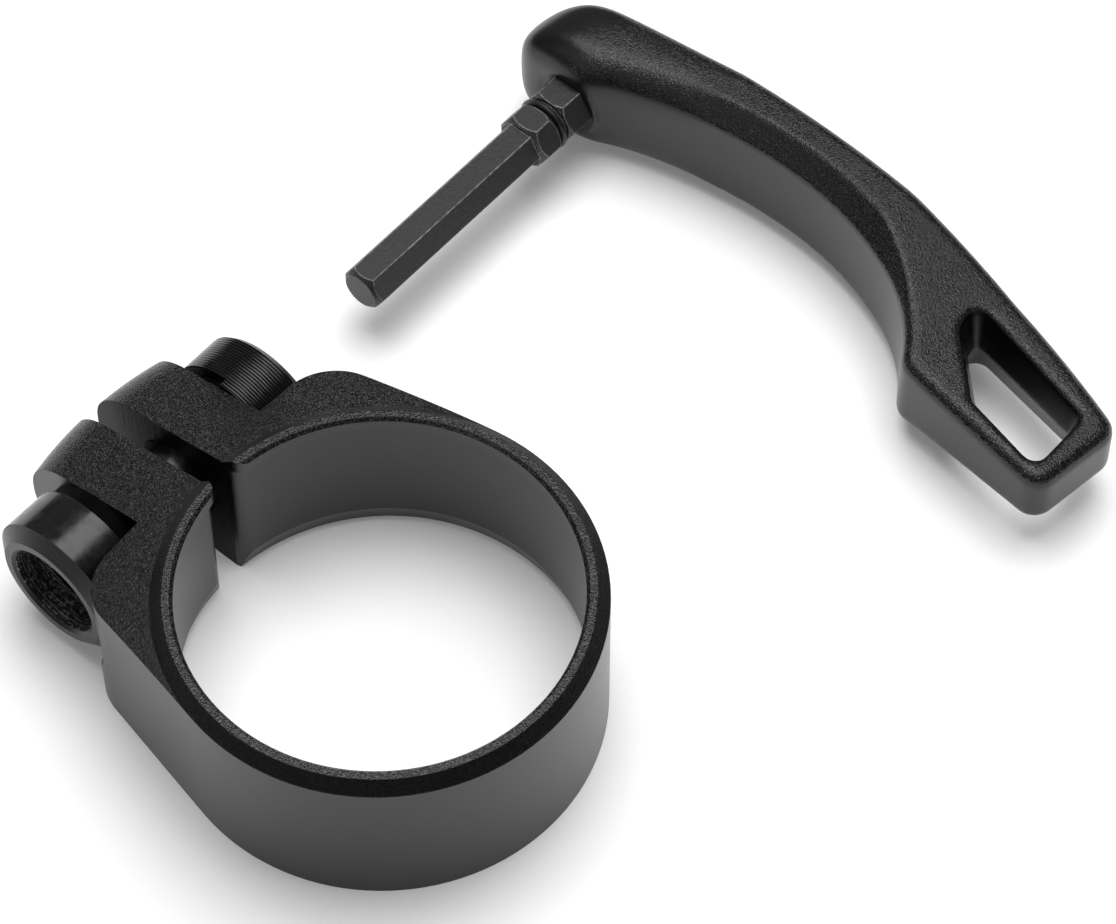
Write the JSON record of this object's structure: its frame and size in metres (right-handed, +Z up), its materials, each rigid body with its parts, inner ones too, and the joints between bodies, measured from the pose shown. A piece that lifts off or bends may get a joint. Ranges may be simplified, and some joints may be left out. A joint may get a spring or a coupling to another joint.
{
  "type": "seatpost clamp",
  "caption": "Split ring clamp for a bicycle seat tube, closed by a hollow cup-headed bolt and keyed barrel nut, with its removable hexagon lever laid beside it.",
  "frame": {"origin": "on the bore's axis, level with the bolt's axis", "axes": "+Z up along the bore towards the lip that sits on the tube's end, -X through the slot to the ears, Y along the bolt with its head on the -Y side"},
  "size_m": [0.0679, 0.0833, 0.0165],
  "materials": {
    "blasted_aluminium": "bead-blasted, black anodised",
    "black_bolt": "turned, gloss black anodised",
    "washer": "black oxide",
    "black_nut": "turned, gloss black anodised",
    "lever_aluminium": "bead-blasted, black anodised",
    "bit_steel": "black oxide",
    "ring_steel": "black oxide"
  },
  "bodies": {
    "clamp_body": {"collar": "blasted_aluminium", "thrust_washer": "washer", "lever": "lever_aluminium", "hex_bit": "bit_steel", "bit_ring": "ring_steel"},
    "bolt": {"clamp_bolt": "black_bolt"},
    "nut": {"barrel_nut": "black_nut"}
  },
  "joints": [
    {"name": "bolt_turn", "type": "hinge", "parent": "clamp_body", "child": "bolt", "pos_m": [-0.0246, 0, 0], "axis": [0, -1, 0], "range_deg": [0, 575]},
    {"name": "nut_travel", "type": "slide", "parent": "clamp_body", "child": "nut", "axis": [0, 1, 0], "range_m": [0, 0.002]}
  ],
  "couplings": [
    {"joint": "nut_travel", "follows": "bolt_turn", "m_per_rad": 0.00019894}
  ]
}
